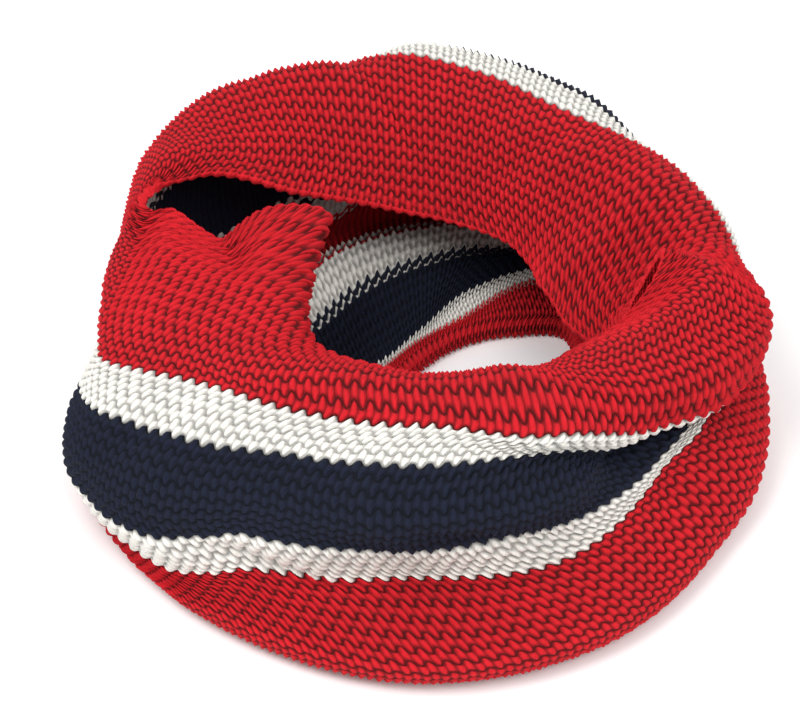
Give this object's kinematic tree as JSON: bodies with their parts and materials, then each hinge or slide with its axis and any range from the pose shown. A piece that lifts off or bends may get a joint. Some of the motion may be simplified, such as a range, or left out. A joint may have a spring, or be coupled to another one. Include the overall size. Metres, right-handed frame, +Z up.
{
  "type": "infinity scarf",
  "caption": "Knitted loop scarf in garter stitch with wide stripes round the tube, slumped in a ring on a surface, its upper edge folded in over the neck opening.",
  "frame": {"origin": "On the surface that the scarf rests on, below the middle of its outer box.", "axes": "+Z up, normal to the surface. +Y points away from the viewer of the picture, across the ring; +X is to the viewer's right. The overlapping pleat with the raised corner is on the +X side."},
  "size_m": [0.2898, 0.314, 0.109],
  "materials": {
    "red_yarn": "matt wool yarn, garter stitch, bright red",
    "white_yarn": "matt wool yarn, garter stitch, off-white",
    "navy_yarn": "matt wool yarn, garter stitch, dark navy blue"
  },
  "bodies": {
    "root": {"red_upper_band": "red_yarn", "white_band_1": "white_yarn", "navy_band_1": "navy_yarn", "white_band_2": "white_yarn", "red_middle_band": "red_yarn", "white_band_3": "white_yarn", "navy_band_2": "navy_yarn", "white_band_4": "white_yarn", "red_lower_band": "red_yarn"}
  },
  "joints": []
}
